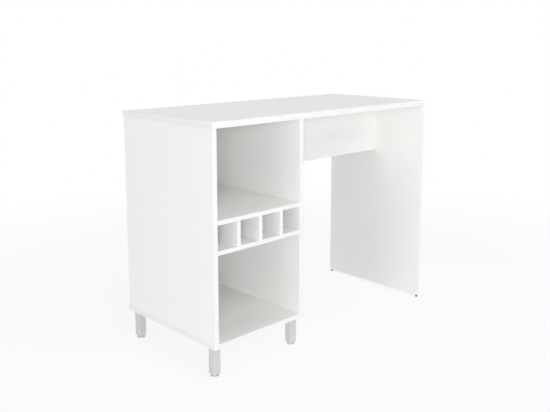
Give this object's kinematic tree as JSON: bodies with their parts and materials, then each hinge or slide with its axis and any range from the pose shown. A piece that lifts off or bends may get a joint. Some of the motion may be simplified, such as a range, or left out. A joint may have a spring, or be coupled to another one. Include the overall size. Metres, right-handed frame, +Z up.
{
  "type": "kitchen counter table",
  "caption": "White counter table with an open cabinet of shelves and cubbies on square metal legs, a knee space with a set-back apron, and a full-height leg panel.",
  "frame": {"origin": "on the floor, below the middle of the worktop", "axes": "+X along the worktop to the right as seen from the open front, -Y out of the front, +Z up"},
  "size_m": [1.2, 0.53, 0.9],
  "materials": {
    "white_melamine": "satin white melamine facing",
    "white_edging": "satin",
    "hardboard": "raw",
    "white_plastic": "satin",
    "zinc_alloy": "cast",
    "zinc_steel": "zinc plated",
    "beech": "raw",
    "satin_steel": "satin silver",
    "black_plastic": "matte",
    "satin_nickel": "satin nickel plate",
    "grey_plastic": "satin"
  },
  "bodies": {
    "counter": {"worktop_panel": "white_melamine", "left_side_panel": "white_melamine", "divider_panel": "white_melamine", "base_panel": "white_melamine", "lower_shelf": "white_melamine", "upper_shelf": "white_melamine", "cubby_divider_1": "white_melamine", "cubby_divider_2": "white_melamine", "cubby_divider_3": "white_melamine", "apron_panel": "white_melamine", "leg_panel": "white_melamine", "worktop_edging": "white_edging", "left_side_edging": "white_edging", "divider_edging": "white_edging", "base_edging": "white_edging", "lower_shelf_edging": "white_edging", "upper_shelf_edging": "white_edging", "apron_edging": "white_edging", "leg_panel_edging": "white_edging", "cubby_divider_edging": "white_edging", "cabinet_back_panel": "hardboard", "cam_caps": "white_plastic", "panel_cams": "zinc_alloy", "shelf_cams": "zinc_alloy", "connecting_bolts": "zinc_steel", "back_panel_nails": "zinc_steel", "leg_bolts": "zinc_steel", "leg_top_plates": "zinc_steel", "glide_nails": "zinc_steel", "leg_insert_nuts": "zinc_steel", "panel_dowels": "beech", "cubby_dowels": "beech", "leg_tube_front_left": "satin_steel", "leg_tube_rear_left": "satin_steel", "leg_tube_front_right": "satin_steel", "leg_tube_rear_right": "satin_steel", "panel_glides": "black_plastic", "leg_plugs": "grey_plastic"},
    "foot_front_left": {"foot_stem_front_left": "zinc_steel", "foot_knob_front_left": "satin_nickel", "foot_pad_front_left": "grey_plastic"},
    "foot_rear_left": {"foot_stem_rear_left": "zinc_steel", "foot_knob_rear_left": "satin_nickel", "foot_pad_rear_left": "grey_plastic"},
    "foot_front_right": {"foot_stem_front_right": "zinc_steel", "foot_knob_front_right": "satin_nickel", "foot_pad_front_right": "grey_plastic"},
    "foot_rear_right": {"foot_stem_rear_right": "zinc_steel", "foot_knob_rear_right": "satin_nickel", "foot_pad_rear_right": "grey_plastic"}
  },
  "joints": [
    {"name": "level_front_left", "type": "slide", "parent": "counter", "child": "foot_front_left", "axis": [0, 0, -1], "range_m": [0, 0.012]},
    {"name": "level_rear_left", "type": "slide", "parent": "counter", "child": "foot_rear_left", "axis": [0, 0, -1], "range_m": [0, 0.012]},
    {"name": "level_front_right", "type": "slide", "parent": "counter", "child": "foot_front_right", "axis": [0, 0, -1], "range_m": [0, 0.012]},
    {"name": "level_rear_right", "type": "slide", "parent": "counter", "child": "foot_rear_right", "axis": [0, 0, -1], "range_m": [0, 0.012]}
  ]
}
